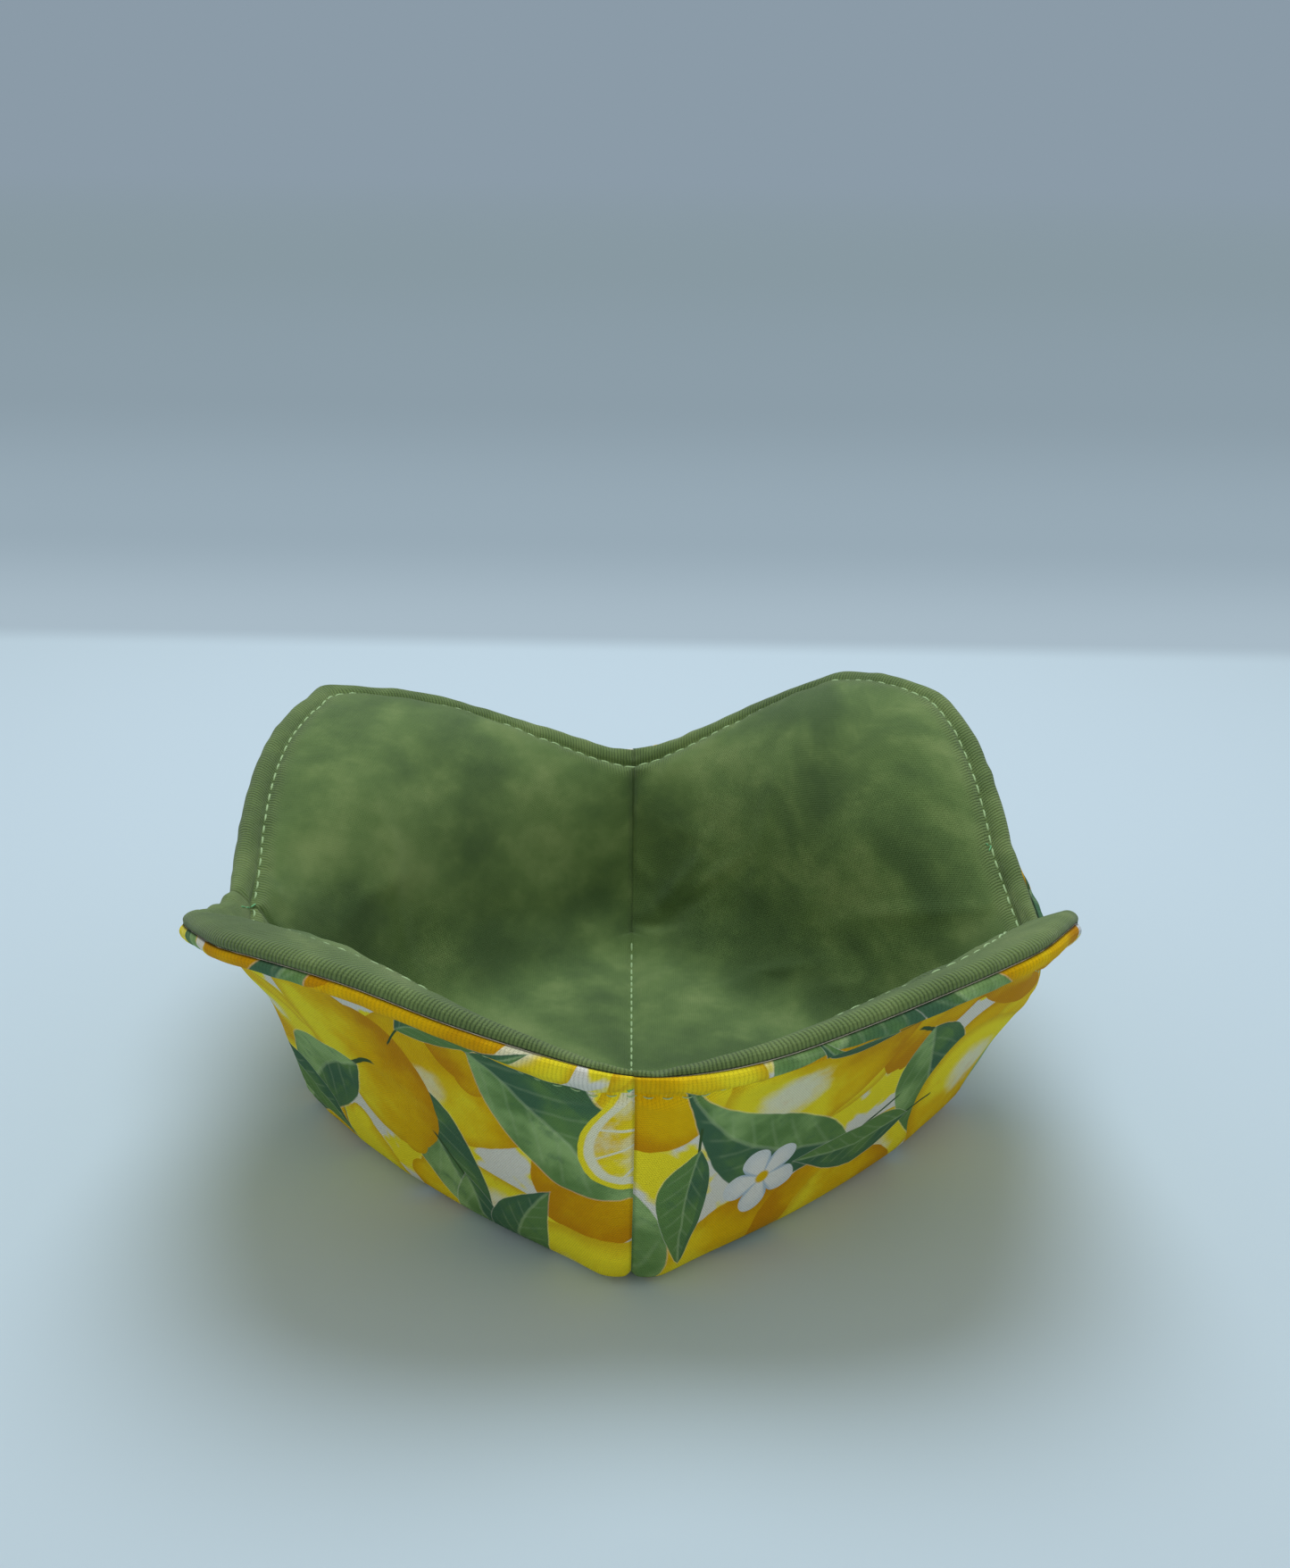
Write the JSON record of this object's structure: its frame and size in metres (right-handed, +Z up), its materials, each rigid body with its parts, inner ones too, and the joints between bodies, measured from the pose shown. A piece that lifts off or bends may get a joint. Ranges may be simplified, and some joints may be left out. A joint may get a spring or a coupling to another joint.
{
  "type": "microwave bowl cozy",
  "caption": "Quilted square bowl cozy of padded cotton with flared petal corners, a citrus print outside and a marbled green lining.",
  "frame": {"origin": "centre of the flat base, on the surface it rests on", "axes": "+Z up out of the bowl; the base square's sides lie along X and Y, so one petal faces each of -Y, +X, +Y and -X and the dart seams rise on the diagonals"},
  "size_m": [0.219, 0.2124, 0.0801],
  "materials": {
    "citrus_print": "plain-weave cotton printed with citrus fruit and leaves",
    "green_lining": "plain-weave cotton, marbled green",
    "batting": "undyed cotton batting",
    "thread": "pale green sewing thread"
  },
  "bodies": {
    "root": {"outer_cover": "citrus_print", "cover_batting": "batting", "lining_batting": "batting", "lining": "green_lining"}
  },
  "joints": []
}
